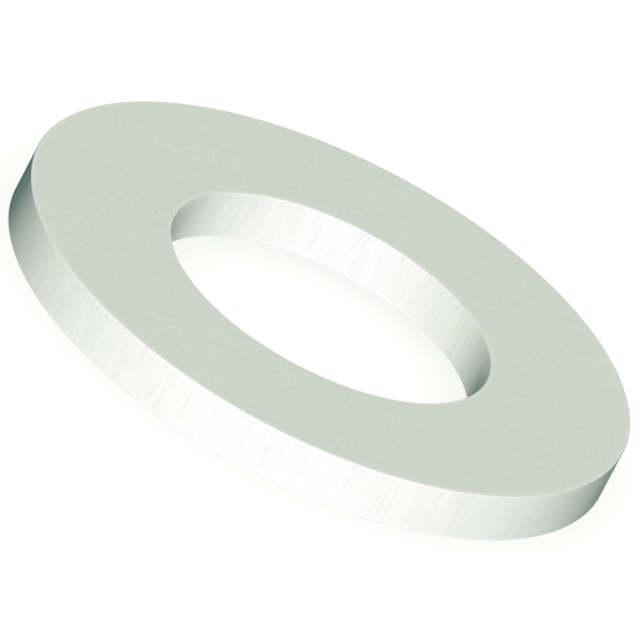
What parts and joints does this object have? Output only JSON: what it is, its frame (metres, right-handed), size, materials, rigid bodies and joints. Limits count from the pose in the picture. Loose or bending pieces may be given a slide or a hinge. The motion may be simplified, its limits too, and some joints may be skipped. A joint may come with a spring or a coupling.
{
  "type": "flat washer",
  "caption": "Plain narrow flat washer: one thin steel ring that spreads the load of a small screw's head or nut.",
  "frame": {"origin": "on the screw's axis, in the plane of the washer's lower face", "axes": "+Z along the screw's axis, out of the upper face, whose edges are rolled; X and Y lie in the lower face"},
  "size_m": [0.006, 0.006, 0.0005],
  "materials": {
    "zinc_plate": "satin zinc plate, clear passivated, tumbled, with no direction in its grain"
  },
  "bodies": {
    "root": {"washer": "zinc_plate"}
  },
  "joints": []
}
